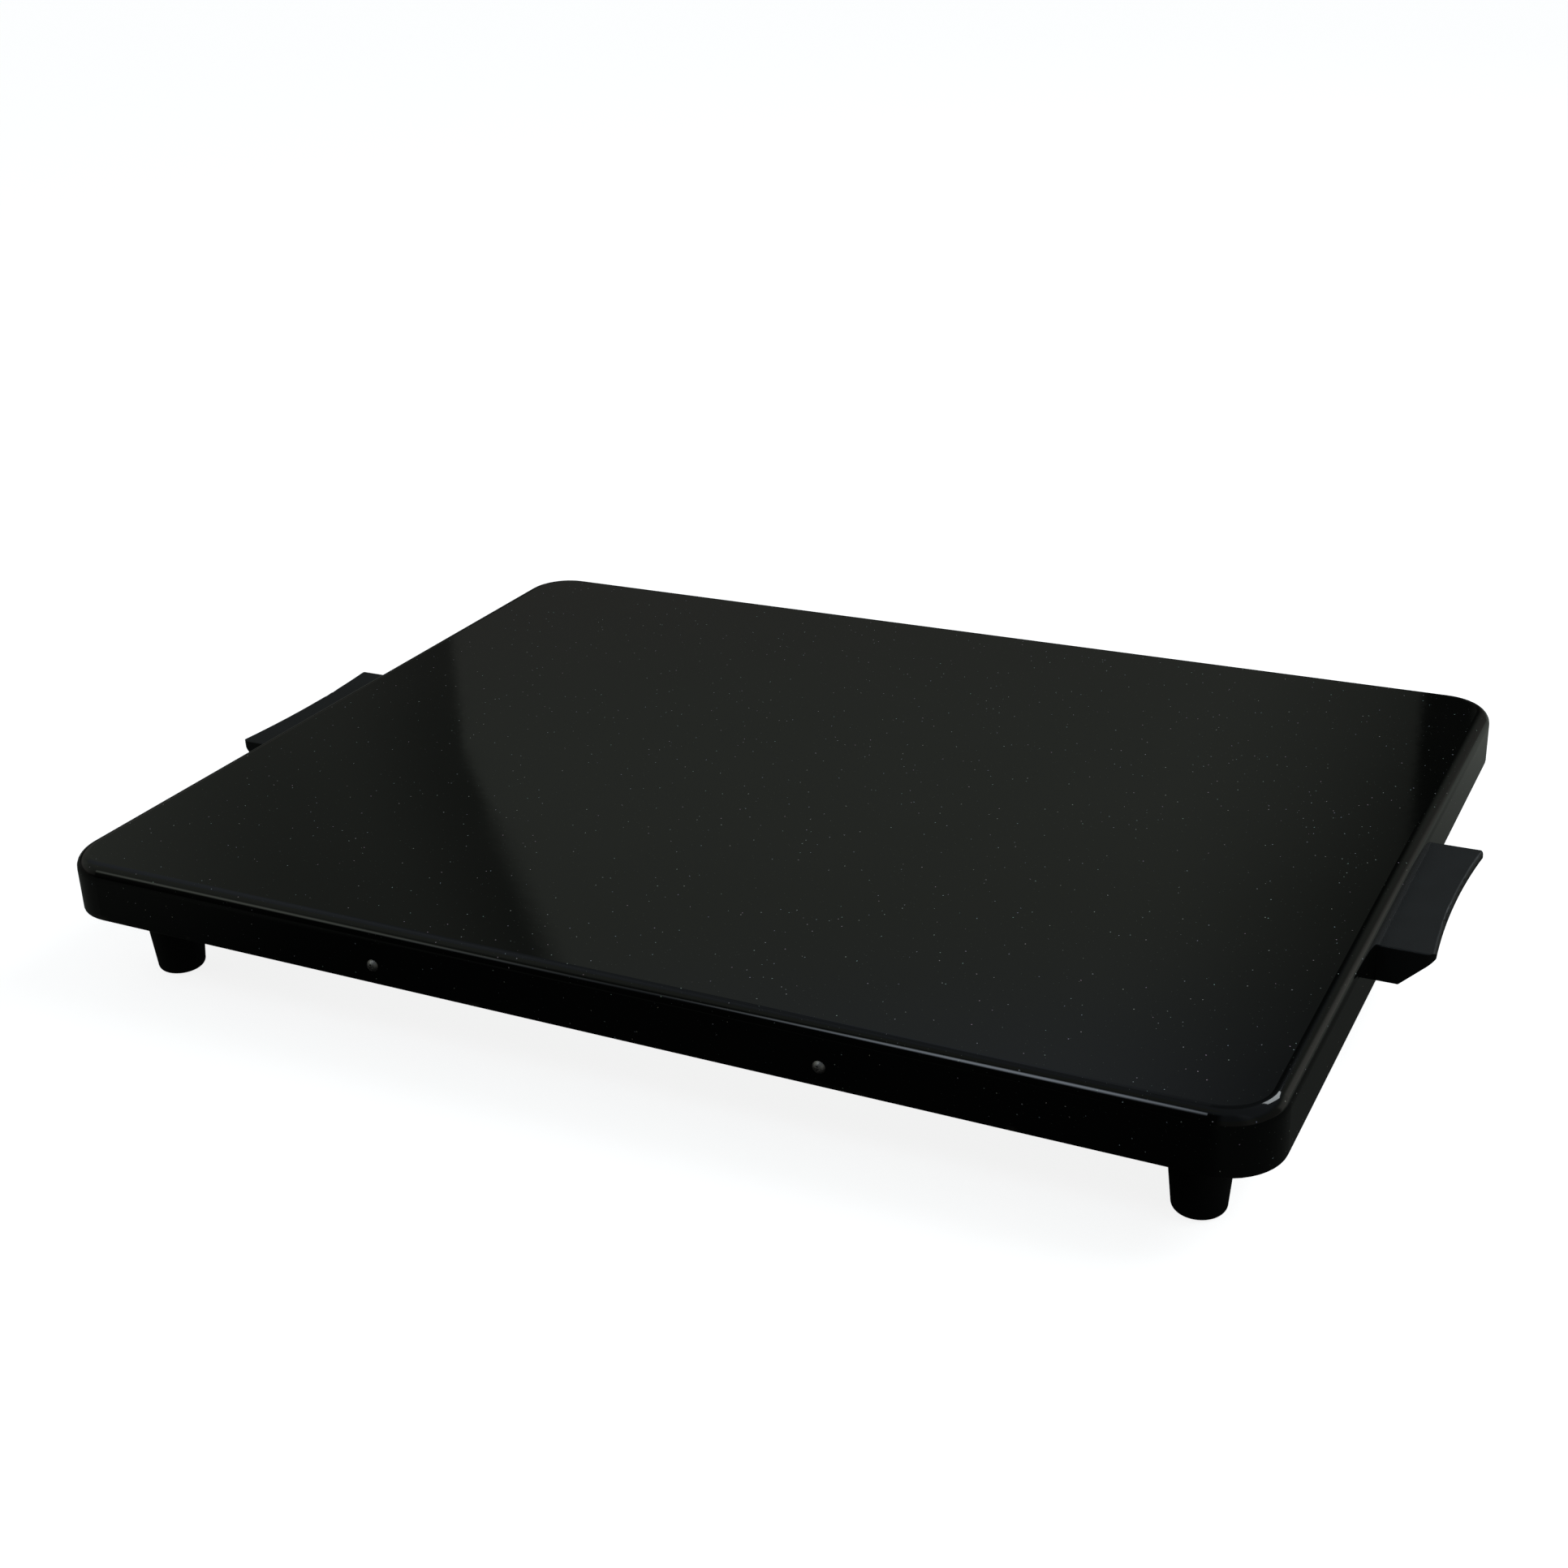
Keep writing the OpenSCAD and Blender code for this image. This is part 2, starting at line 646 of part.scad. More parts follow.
// Presses the element against the pan; its flange keeps it flat
module clamp_plate() {
    l = plate_l - 2 * clamp_inset;
    w = plate_w - 2 * clamp_inset;
    color("#9aa0a3") difference() {
        union() {
            sweep_round(l, w, sheet_corner_r) translate([0, z_mica_lower]) mirror([0, 1])
                bent_edge(sheet_corner_r, clamp_t + clamp_flange, 2, clamp_t);
            translate([0, 0, z_clamp + clamp_t / 2])
                cube([l - 2 * sheet_corner_r, w - 2 * sheet_corner_r, clamp_t], center = true);
        }
        at_studs() translate([0, 0, z_clamp - eps])
            cylinder(r = m4_r + sheet_gap, h = clamp_t + 2 * eps);
        at_terminals() translate([0, 0, z_clamp - eps])
            cylinder(r = bush_r + run_gap, h = clamp_t + 2 * eps);
    }
}

// Studs welded under the pan's top
module plate_studs() {
    color("#a5a7a8") at_studs() translate([0, 0, z_stud]) cylinder(r = m4_r, h = z_under - z_stud);
}

module stud_washers() {
    color("#b4b6b7") at_studs() translate([0, 0, z_clamp - m4_washer_t])
        washer(m4_washer_r, m4_r + hole_gap, m4_washer_t);
}

module stud_nuts() {
    color("#a5a7a8") at_studs() translate([0, 0, z_clamp - m4_washer_t - m4_nut_h])
        nut(m4_nut_af, m4_r, m4_nut_h);
}

// A soft mineral-wool blanket that fills the space above the base cover
module insulation_blanket() {
    l = plate_l - 2 * blanket_inset;
    front = -plate_w / 2 + 28;
    w = blanket_rear - front;
    color("#d8d3c4") translate([0, front + w / 2, z_floor])
        rounded_sheet(l, w, sheet_corner_r, blanket_top - z_floor);
}

// ---- Heater terminals ----

// Headed studs welded to the ribbon's ends
module heater_terminals() {
    color("#c9a64e") at_terminals() {
        translate([0, 0, z_mica_lower]) cylinder(r = bush_top_r, h = mica_t);
        translate([0, 0, z_terminal_end]) cylinder(r = m4_r, h = z_mica_lower - z_terminal_end);
    }
}

// Ceramic bushes that keep the terminals off the clamp plate
module terminal_bushes() {
    color("#e6e0d2") at_terminals() difference() {
        union() {
            translate([0, 0, z_clamp - bush_flange_t]) cylinder(r = bush_flange_r, h = bush_flange_t);
            translate([0, 0, z_clamp]) cylinder(r = bush_r, h = clamp_t);
        }
        translate([0, 0, z_clamp - bush_flange_t - eps])
            cylinder(r = m4_r + run_gap, h = bush_flange_t + clamp_t + 2 * eps);
    }
}

module terminal_nuts() {
    color("#c9a64e") at_terminals() for (z = [z_terminal_nut, z_terminal_lug - m4_nut_h])
        translate([0, 0, z]) nut(m4_nut_af, m4_r, m4_nut_h);
}

module terminal_lugs() {
    color("#c3c6c8") for (side = [0, 1]) translate([side == 0 ? -terminal_x : terminal_x, terminal_y,
            z_terminal_lug]) rotate([0, 0, 180 * side]) ring_lug();
}

// ---- Limiter ----

module at_limiter() { translate([limiter_x, limiter_y, 0]) children(); }

// A thin aluminium cup with two fixing ears
module limiter_case() {
    color("#c3c6c8") at_limiter() difference() {
        union() {
            translate([0, 0, z_clamp - limiter_case_h]) cylinder(r = limiter_case_r, h = limiter_case_h);
            translate([0, 0, z_clamp - limiter_wall]) linear_extrude(limiter_wall) union() {
                square([2 * limiter_case_h, limiter_pitch], center = true);
                for (y = [-1, 1]) translate([0, y * limiter_pitch / 2]) circle(limiter_case_h);
            }
        }
        translate([0, 0, z_clamp - limiter_case_h - eps])
            cylinder(r = limiter_body_r + run_gap, h = limiter_case_h - limiter_wall + eps);
        for (y = [-1, 1]) translate([0, y * limiter_pitch / 2, z_clamp - limiter_wall - eps])
            cylinder(r = m3_r + hole_gap, h = limiter_wall + 2 * eps);
    }
}

module limiter_body() {
    color("#3b2a20") at_limiter() translate([0, 0, z_limiter])
        cylinder(r = limiter_body_r, h = limiter_body_h);
}

module limiter_blades() {
    color("#c3c6c8") at_limiter() for (x = [-1, 1])
        translate([x * (blade_l + 2) / 2, 0, z_blade + blade_t / 2])
            cube([blade_l - 2, blade_w, blade_t], center = true);
}

// Push-on receptacles crimped to the leads
module limiter_receptacles() {
    color("#c9a64e") at_limiter() for (side = [0, 180]) rotate([0, 0, side])
        translate([0, 0, z_blade + blade_t / 2]) {
            difference() {
                translate([blade_l - receptacle_l / 2 + 1, 0, 0])
                    cube([receptacle_l, blade_w + 1.6, receptacle_h], center = true);
                translate([blade_l - receptacle_l / 2, 0, 0])
                    cube([receptacle_l, blade_w + 2 * run_gap, blade_t + 2 * run_gap], center = true);
            }
            translate([blade_l + 1, 0, 0]) rotate([0, 90, 0])
                cylinder(r = lug_barrel_r, h = receptacle_barrel_l - 1);
        }
}

module at_limiter_studs() {
    at_limiter() for (y = [-1, 1]) translate([0, y * limiter_pitch / 2, 0]) children();
}

module limiter_studs() {
    length = limiter_wall + m3_nut_h + 1;
    color("#a5a7a8") at_limiter_studs() translate([0, 0, z_clamp - length])
        cylinder(r = m3_r, h = length);
}

module limiter_nuts() {
    color("#a5a7a8") at_limiter_studs() translate([0, 0, z_clamp - limiter_wall - m3_nut_h])
        nut(m3_nut_af, m3_r, m3_nut_h);
}

// ---- Terminal block ----

module at_ways() {
    for (k = [-1:1]) translate([block_x + k * block_pitch, block_y, z_floor]) children();
}

module at_clamp_screws() {
    at_ways() for (y = [-1, 1]) translate([0, y * clamp_screw_y, 0]) children();
}

module at_block_mounts() {
    for (x = [-1, 1]) translate([block_x + x * block_pitch / 2, block_y, z_floor]) children();
}

module terminal_block() {
    color("#ece7da") difference() {
        translate([block_x - block_l / 2, block_front, z_floor]) cube([block_l, block_w, block_h]);
        at_ways() translate([0, block_w / 2 + eps, tube_level]) rotate([90, 0, 0])
            cylinder(r = tube_r + run_gap, h = block_w + 2 * eps);
        at_clamp_screws() translate([0, 0, tube_level]) cylinder(r = clamp_screw_r + hole_gap, h = block_h);
        at_block_mounts() {
            translate([0, 0, -eps]) cylinder(r = clamp_screw_r + hole_gap, h = block_h + 2 * eps);
            translate([0, 0, block_h - 3]) cylinder(r = 2.4, h = 3 + eps);
        }
    }
}

module block_tubes() {
    color("#c9a64e") at_ways() difference() {
        translate([0, block_w / 2, tube_level]) rotate([90, 0, 0]) cylinder(r = tube_r, h = block_w);
        translate([0, block_w / 2 + eps, tube_level]) rotate([90, 0, 0])
            cylinder(r = tube_bore_r, h = block_w + 2 * eps);
        for (y = [-1, 1]) translate([0, y * clamp_screw_y, tube_level])
            cylinder(r = clamp_screw_r + run_gap, h = tube_r + eps);
    }
}

// Slotted grub screws that clamp the wires
module block_screws() {
    length = block_h - tube_level - lead_r - 0.5;
    color("#a5a7a8") at_clamp_screws() translate([0, 0, tube_level + tube_bore_r]) difference() {
        cylinder(r = clamp_screw_r, h = length);
        translate([0, 0, length]) cube([3 * clamp_screw_r, 0.5, 1.4], center = true);
    }
}

module block_mount_screws() {
    color("#a5a7a8") at_block_mounts() translate([0, 0, block_h - 3])
        dome_screw(clamp_screw_r, block_h - 3 + base_t + 1, 2.2, 1.5);
}

// ---- Leads and earth ----

module lead_live() { color("#7a3d26") lead(live_route); }
module lead_link() { color("#7a3d26") lead(link_route); }
module lead_neutral() { color("#2f5f9e") lead(neutral_route); }
module lead_earth() { color("#6f9a3a") lead(earth_route); }

module at_earth() { translate([earth_x, earth_y, 0]) children(); }

// A stud welded under the pan's top
module earth_stud() {
    end = z_earth_lug - m4_nut_h - stud_end;
    color("#c9a64e") at_earth() translate([0, 0, end]) cylinder(r = m4_r, h = z_under - end);
}

// One nut against the pan, and one that holds the lug
module earth_nuts() {
    color("#c9a64e") at_earth() for (z = [z_under - m4_nut_h, z_earth_lug - m4_nut_h])
        translate([0, 0, z]) nut(m4_nut_af, m4_r, m4_nut_h);
}

module earth_lug() {
    color("#c3c6c8") at_earth() translate([0, 0, z_earth_lug]) ring_lug();
}

// ---- Gland ----

module gland_body() {
    length = barrel_l + gland_flange_t + gland_neck_l;
    color("#1b1b1b") at_gland() difference() {
        union() {
            translate([0, 0, -barrel_l]) cylinder(r = barrel_r, h = length);
            hex(gland_flange_af, gland_flange_t);
        }
        translate([0, 0, -barrel_l - eps]) cylinder(r = cord_r, h = length);
        translate([0, 0, gland_flange_t + gland_neck_l - seal_l])
            cylinder(r = seal_r, h = seal_l + eps);
    }
}

module gland_seal() {
    color("#3a3a3a") at_gland() translate([0, 0, gland_flange_t + gland_neck_l - seal_l])
        washer(seal_r, cord_r, seal_l);
}

module gland_cap() {
    nose_r = 1.5;
    color("#1b1b1b") at_gland() translate([0, 0, gland_flange_t]) difference() {
        rotate_extrude() {
            square([gland_cap_r, gland_cap_l - nose_r]);
            square([gland_cap_r - nose_r, gland_cap_l]);
            translate([gland_cap_r - nose_r, gland_cap_l - nose_r]) intersection() {
                circle(nose_r);
                square(nose_r);
            }
        }
        translate([0, 0, -eps]) cylinder(r = cord_r, h = gland_cap_l + 2 * eps);
        translate([0, 0, -eps]) cylinder(r = barrel_r + run_gap, h = gland_neck_l + eps);
    }
}

module gland_locknut() {
    color("#1b1b1b") at_gland() translate([0, 0, -plate_t - gland_nut_t])
        nut(gland_nut_af, barrel_r, gland_nut_t);
}

plate_pan();
base_cover();
cover_screws();
foot_front_left();
foot_front_right();
foot_rear_left();
foot_rear_right();
foot_screws();
foot_washers();
foot_nuts();
handle_left();
handle_right();
handle_inserts();
handle_screws();
handle_washers();
heat_spreader();
mica_upper();
heating_ribbon();
mica_lower();
clamp_plate();
plate_studs();
stud_washers();
stud_nuts();
insulation_blanket();
heater_terminals();
terminal_bushes();
terminal_nuts();
terminal_lugs();
limiter_case();
limiter_body();
limiter_blades();
limiter_receptacles();
limiter_studs();
limiter_nuts();
terminal_block();
block_tubes();
block_screws();
block_mount_screws();
lead_live();
lead_link();
lead_neutral();
lead_earth();
earth_stud();
earth_nuts();
earth_lug();
gland_body();
gland_seal();
gland_cap();
gland_locknut();
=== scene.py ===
import math

import bmesh
import bpy
from mathutils import Euler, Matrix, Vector, noise


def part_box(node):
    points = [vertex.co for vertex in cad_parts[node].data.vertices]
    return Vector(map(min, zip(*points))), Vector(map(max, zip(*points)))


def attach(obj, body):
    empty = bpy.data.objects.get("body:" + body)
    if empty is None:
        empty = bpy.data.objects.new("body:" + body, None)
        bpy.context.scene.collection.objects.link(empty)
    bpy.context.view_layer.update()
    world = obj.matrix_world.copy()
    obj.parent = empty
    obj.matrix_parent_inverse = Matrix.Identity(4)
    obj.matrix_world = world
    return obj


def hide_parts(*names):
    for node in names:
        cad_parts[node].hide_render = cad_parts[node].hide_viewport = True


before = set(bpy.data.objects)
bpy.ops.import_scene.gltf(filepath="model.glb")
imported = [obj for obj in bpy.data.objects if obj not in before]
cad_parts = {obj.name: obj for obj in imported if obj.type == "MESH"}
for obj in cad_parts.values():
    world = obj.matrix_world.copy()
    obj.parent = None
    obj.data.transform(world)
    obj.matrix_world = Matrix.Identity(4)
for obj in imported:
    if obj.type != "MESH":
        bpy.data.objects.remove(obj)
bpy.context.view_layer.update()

scene = bpy.context.scene


# ---- Camera ----
# It stands in front of the plate's right half, a little above it, and looks across the top
# towards the rear left corner, with a slight roll.
camera = bpy.data.objects.new("camera", bpy.data.cameras.new("camera"))
camera.data.lens = 50.6645
camera.location = (0.461649, -0.923240, 0.525976)
camera.rotation_euler = Euler([math.radians(turn) for turn in (65.8829, 2.1348, 26.4413)])
scene.collection.objects.link(camera)
scene.camera = camera
scene.view_settings.view_transform = "Standard"


# ---- Room ----
# A white room. What the gloss sees of it is dim: a broad grey wall behind the plate, which ends
# sharply on the left, fades out on the right and gets lighter upwards, and two lamps in front.
class Flow:
    """One node's output. Sums on it, with numbers or with other outputs, add Math nodes."""

    def __init__(self, tree, socket):
        self.tree, self.socket = tree, socket

    def math(self, operation, *others, swap=False):
        values = (*others, self) if swap else (self, *others)
        return self.tree.node("ShaderNodeMath", {"operation": operation}, dict(enumerate(values)))

    def __add__(self, other):
        return self.math("ADD", other)

    def __sub__(self, other):
        return self.math("SUBTRACT", other)

    def __rsub__(self, other):
        return self.math("SUBTRACT", other, swap=True)

    def __mul__(self, other):
        return self.math("MULTIPLY", other)

    __radd__, __rmul__ = __add__, __mul__

    def rises(self, low, high):
        """0 below low and 1 above high, with a smooth step between them."""
        return self.tree.node("ShaderNodeMapRange", {"interpolation_type": "SMOOTHSTEP"},
                              {"Value": self, "From Min": low, "From Max": high})

    def falls(self, low, high):
        return 1 - self.rises(low, high)


class Tree:
    """The shader nodes of a material or of the room."""

    def __init__(self, tree):
        self.tree = tree

    def put(self, socket, value):
        if isinstance(value, Flow):
            self.tree.links.new(value.socket, socket)
        else:
            socket.default_value = value

    def node(self, kind, settings=None, inputs=None, output=0):
        node = self.tree.nodes.new(kind)
        for name, value in (settings or {}).items():
            setattr(node, name, value)
        for name, value in (inputs or {}).items():
            self.put(node.inputs[name], value)
        return Flow(self, node.outputs[output])

    def mix(self, share, first, second):
        """The first colour where the share is 0, and the second where it is 1."""
        return self.node("ShaderNodeMix", {"data_type": "RGBA"}, {0: share, 6: first, 7: second},
                         output=2)

    def axis(self, vector, letter):
        return self.node("ShaderNodeSeparateXYZ", None, {"Vector": vector}, output=letter)

    def ray(self, kind):
        return self.node("ShaderNodeLightPath", output=f"Is {kind} Ray")


def inside(value, low, high, soft):
    """1 from low to high, and 0 beyond them, with soft ends."""
    return value.rises(low - soft, low + soft) * value.falls(high - soft, high + soft)


white = (1, 1, 1, 1)
world = bpy.data.worlds.new("room")
scene.world = world
world.use_nodes = True
air = Tree(world.node_tree)
look = air.node("ShaderNodeTexCoord", output="Generated")
east, north, up = (air.axis(look, letter) for letter in "XYZ")
turn = east.math("ARCTAN2", north) * math.degrees(1)            # 0 towards +Y, and 90 towards +X
lift = up.math("ARCSINE") * math.degrees(1)                     # 90 straight up
behind = turn.math("ABSOLUTE").falls(108, 142)
edge = turn + 36.3 - (lift - 22.6).math("MAXIMUM", 0) * 0.34     # how far right of the wall's left edge
edge_soft = 0.15 + lift.rises(22, 28) * 0.5
wall = 0.083 + lift.rises(17, 27) * 0.055 + lift.rises(26, 33) * 0.035
beside = 0.038 + edge.falls(-4, 0) * 0.036 + turn.falls(-50, -41) * 0.068
fade = (turn + (lift - 22) * 0.42).falls(-16, -4)               # the wall's soft right end
gap = inside(turn, -9.95, -8.55, 0.15)                          # a dark gap in that end
shade = fade * (1 - gap) * (beside + edge.rises(edge_soft * -1, edge_soft) * (wall - beside))
shade = shade * lift.rises(6, 14)                               # the foot of the wall is dark
right = turn.rises(-4, 16) * (0.09 + inside(turn, 27, 60, 4) * 0.22 * lift.falls(16, 30))
upper = lift.rises(30, 46) * 0.05
lamp_low = inside(turn, -141, -122, 7) * inside(lift, 33, 42, 5) * 0.95
lamp_high = inside(turn, -157, -142, 6) * inside(lift, 46, 61, 6) * 3.6
far_side = inside(turn, 112, 172, 9) * 0.075 + turn.falls(-84, -70) * behind * lift.falls(26, 38) * 0.045
ceiling = lift.rises(56, 76)
sides = ((shade + right + upper) * behind + far_side) * (1 - ceiling)
glow = sides + ceiling * 0.13 + 0.006 + lamp_low + lamp_high
warm, greenish, cool = (1.03, 1.03, 0.94, 1), (0.97, 1.06, 0.93, 1), (0.90, 1.01, 1.14, 1)
coolness = lift.rises(27, 34) * (turn.rises(-84, -70) + turn.falls(-146, -132))
tint = air.mix(coolness, air.mix(lift.rises(17, 23), warm, greenish), cool)
seen = air.ray("Camera")
background = world.node_tree.nodes["Background"]
air.put(background.inputs["Color"], air.mix(seen, tint, white))
air.put(background.inputs["Strength"], seen.math("MAXIMUM", glow))


# ---- Floor ----
# A plain pale floor that runs on into the white of the room, with only a faint shadow under the
# plate. Reflections and bounced light see a dim painted glow on it instead: painted light to the right and
# behind, painted shade in front, and a painted patch of light under the plate that lights the base. From
# below it is clear, to show the base.
floor_size = 60
mesh = bpy.data.meshes.new("floor")
shape = bmesh.new()
bmesh.ops.create_grid(shape, x_segments=1, y_segments=1, size=floor_size / 2)
shape.to_mesh(mesh)
shape.free()
floor = bpy.data.objects.new("floor", mesh)
scene.collection.objects.link(floor)


class Finish(Tree):
    """One material. Plain values are set on its shader, and what varies is fed to it."""

    def __init__(self, name, **plain):
        self.material = bpy.data.materials.new(name)
        self.material.use_nodes = True
        super().__init__(self.material.node_tree)
        self.shader = self.tree.nodes["Principled BSDF"]
        self.set(**plain)
        self.place = self.node("ShaderNodeTexCoord", output="Object")

    def set(self, **values):
        for name, value in values.items():
            self.put(self.shader.inputs[name.replace("_", " ")], value)


pale = Finish("floor_pale", Roughness=1.0, Specular_IOR_Level=0.0, Emission_Strength=1.0)
east, north = (pale.axis(pale.place, letter) for letter in "XY")
# Painted light and shade, seen only by reflections and bounced light: brighter to the right and towards
# the back, a little on the front left, a painted patch of light under the plate, and dark in front as
# painted shade.
beside = east.rises(0.26, 0.31) * (0.02 + north.rises(0.0, 0.36) * 0.07)
behind = north.rises(0.24, 0.5) * 0.08
front_left = east.falls(-0.38, -0.2) * 0.035
painted_light_under_plate = inside(east, -0.19, 0.19, 0.05) * inside(north, -0.12, 0.14, 0.05) * 0.3
painted_glow = pale.mix(0.003 + beside + behind + front_left + painted_light_under_plate, (0, 0, 0, 1), (0.97, 1.06, 0.95, 1))
seen = pale.ray("Camera")
pale.set(Base_Color=pale.mix(seen, (0.02, 0.02, 0.02, 1), (0.8, 0.8, 0.8, 1)),
         Emission_Color=pale.mix(seen, painted_glow, (0.86, 0.86, 0.86, 1)))
pale.material.cycles.emission_sampling = "NONE"
facing_down = pale.node("ShaderNodeNewGeometry", output="Backfacing")
clear = pale.node("ShaderNodeBsdfTransparent")
solid = Flow(pale, pale.shader.outputs[0])
pale.put(pale.tree.nodes["Material Output"].inputs["Surface"],
         pale.node("ShaderNodeMixShader", None, {0: facing_down, 1: solid, 2: clear}))
floor.data.materials.append(pale.material)


# ---- Lights ----
# Two large soft lights, one over the plate's right half and one behind it on the right. The
# overhead one has no reflection of its own, so it leaves no hard patch in the gloss.
def soft_light(name, place, aim, size, power, tint):
    lamp = bpy.data.objects.new(name, bpy.data.lights.new(name, "AREA"))
    lamp.data.shape = "RECTANGLE"
    lamp.data.size, lamp.data.size_y = size
    lamp.data.energy = power
    lamp.data.color = tint
    lamp.location = place
    lamp.rotation_euler = (Vector(aim) - Vector(place)).to_track_quat("-Z", "Y").to_euler()
    lamp.visible_camera = False
    scene.collection.objects.link(lamp)
    return lamp


overhead = soft_light("overhead", (1.1, 0.25, 1.1), (0.2, 0, 0.07), (0.7, 0.7), 4.5, (0.95, 1.0, 1.03))
overhead.visible_glossy = False
soft_light("back_right", (0.95, 1.65, 1.85), (0.2, 0, 0.05), (0.8, 0.8), 9, (0.93, 1.0, 1.03))


# ---- Enamelled pan ----
# The warming surface is a pan pressed from 1.2 mm steel sheet, coated in black vitreous enamel with
# fine pale flecks and fired to a high gloss. Its skirt ends in a small hem.
def specks(finish, spacing, radius):
    """Round specks all through a material: 1 inside one, and each speck's own random colour."""
    cells = {"Vector": finish.place, "Scale": 1 / spacing}
    reach = finish.node("ShaderNodeTexVoronoi", None, cells, output="Distance") * spacing
    tone = finish.node("ShaderNodeTexVoronoi", None, cells, output="Color")
    return reach.falls(0.7 * radius, radius), tone


def cloud(finish, scale, detail=2, place=None):
    return finish.node("ShaderNodeTexNoise", None,
                       {"Vector": place or finish.place, "Scale": scale, "Detail": detail})


def bump(finish, height, depth, strength=1.0):
    finish.set(Normal=finish.node("ShaderNodeBump", None,
                                  {"Height": height, "Distance": depth, "Strength": strength}))


def coat(finish, *names):
    for name in names:
        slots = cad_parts[name].data.materials
        slots.clear()
        slots.append(finish.material)


enamel = Finish("enamel_black", IOR=1.5)
fleck, fleck_tone = specks(enamel, 0.0047, 0.00031)
dust, dust_tone = specks(enamel, 0.0026, 0.00020)
base = enamel.mix(cloud(enamel, 14, 3).rises(0.3, 0.7), (0.0024, 0.0028, 0.0024, 1),
                  (0.0036, 0.0038, 0.0034, 1))
dusted = enamel.mix(dust, base, (0.09, 0.10, 0.09, 1))
fleck_colour = enamel.mix(0.22, (0.46, 0.48, 0.46, 1), fleck_tone)
flecked = enamel.mix(fleck, dusted, fleck_colour)
level = enamel.axis(enamel.place, "Z")
hem_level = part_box("plate_pan")[0].z
# Lighter brownish smudges in a strip just above the hem's lower edge, which is also rougher there.
hem_smudge = level.falls(hem_level + 0.0012, hem_level + 0.0035) * cloud(enamel, 55, 5).rises(0.58, 0.70)
enamel.set(Base_Color=enamel.mix(hem_smudge * 0.7, flecked, (0.06, 0.055, 0.045, 1)),
           Roughness=0.03 + cloud(enamel, 9, 4).rises(0.35, 0.75) * 0.04 + hem_smudge * 0.3)
bump(enamel, cloud(enamel, 140, 1), 0.00002, 0.3)
coat(enamel, "plate_pan")


# ---- Handles ----
# Two carrying handles are moulded in black heat-proof plastic, with a fine grain that takes the
# shine off. Each holds brass inserts, and is screwed on from inside the skirt.
moulded = Finish("handle_black")
grain = cloud(moulded, 2600, 3)
moulded.set(Base_Color=moulded.mix(cloud(moulded, 60, 4).rises(0.3, 0.8), (0.006, 0.0075, 0.008, 1),
                                   (0.009, 0.011, 0.012, 1)),
            Roughness=0.38 + grain * 0.14)
bump(moulded, grain, 0.00006, 0.5)
coat(moulded, "handle_left", "handle_right")


def metal(name, light, dark, roughness):
    """Plated or turned metal: faint clouds in its colour, and a fine tooth."""
    finish = Finish(name, Metallic=1.0)
    finish.set(Base_Color=finish.mix(cloud(finish, 420, 4).rises(0.35, 0.7), dark, light),
               Roughness=roughness - 0.06 + cloud(finish, 1500, 3) * 0.18)
    bump(finish, cloud(finish, 2400), 0.00002, 0.4)
    return finish


zinc = metal("zinc_plate", (0.66, 0.67, 0.68, 1), (0.50, 0.51, 0.53, 1), 0.32)
brass = metal("turned_brass", (0.78, 0.58, 0.26, 1), (0.60, 0.42, 0.18, 1), 0.3)
coat(zinc, "handle_screws", "handle_washers")
coat(brass, "handle_inserts")


# ---- Heating element ----
# A resistance ribbon lies in folds between two sheets of mica, under an aluminium heat spreader. A
# clamp plate of aluminised steel holds the stack up on studs welded to the pan.
def rolled(name, light, dark, roughness, along=8):
    """Rolled sheet or strip, with the fine lines that the rolls leave along it."""
    finish = Finish(name, Metallic=1.0)
    stretch = finish.node("ShaderNodeMapping", None, {"Vector": finish.place, "Scale": (60, along, 60)})
    lines = cloud(finish, 40, 5, stretch)
    finish.set(Base_Color=finish.mix(lines, dark, light), Roughness=roughness - 0.1 + lines * 0.2)
    bump(finish, lines, 0.00002, 0.4)
    return finish


aluminium = rolled("rolled_aluminium", (0.80, 0.81, 0.82, 1), (0.66, 0.67, 0.69, 1), 0.34)
coat(aluminium, "heat_spreader")
coat(rolled("aluminised_steel", (0.58, 0.60, 0.61, 1), (0.44, 0.46, 0.47, 1), 0.42), "clamp_plate")
coat(rolled("oxidised_ribbon", (0.40, 0.34, 0.27, 1), (0.22, 0.18, 0.14, 1), 0.45, 3), "heating_ribbon")
coat(zinc, "plate_studs", "stud_washers", "stud_nuts")

mica = Finish("mica_sheet")
flakes = mica.node("ShaderNodeTexVoronoi", None, {"Vector": mica.place, "Scale": 160}, output="Color")
flake_tone = mica.node("ShaderNodeSeparateColor", None, {"Color": flakes})
mica.set(Base_Color=mica.mix(flake_tone * 0.6 + cloud(mica, 45, 4) * 0.4, (0.36, 0.28, 0.18, 1),
                             (0.66, 0.56, 0.40, 1)),
         Roughness=0.22 + flake_tone * 0.3)
coat(mica, "mica_upper", "mica_lower")


# ---- Element terminals ----
# Each end of the ribbon has a threaded brass terminal, which passes through a steatite bush and
# takes a ring lug between its nuts.
steatite = Finish("steatite")
spot, _ = specks(steatite, 0.0018, 0.0002)
steatite.set(Base_Color=steatite.mix(spot, (0.84, 0.81, 0.73, 1), (0.52, 0.46, 0.38, 1)),
             Roughness=0.5 + cloud(steatite, 900, 3) * 0.2)
bump(steatite, cloud(steatite, 1800, 3), 0.00005, 0.5)
coat(steatite, "terminal_bushes")
coat(brass, "heater_terminals", "terminal_nuts")
coat(zinc, "terminal_lugs")


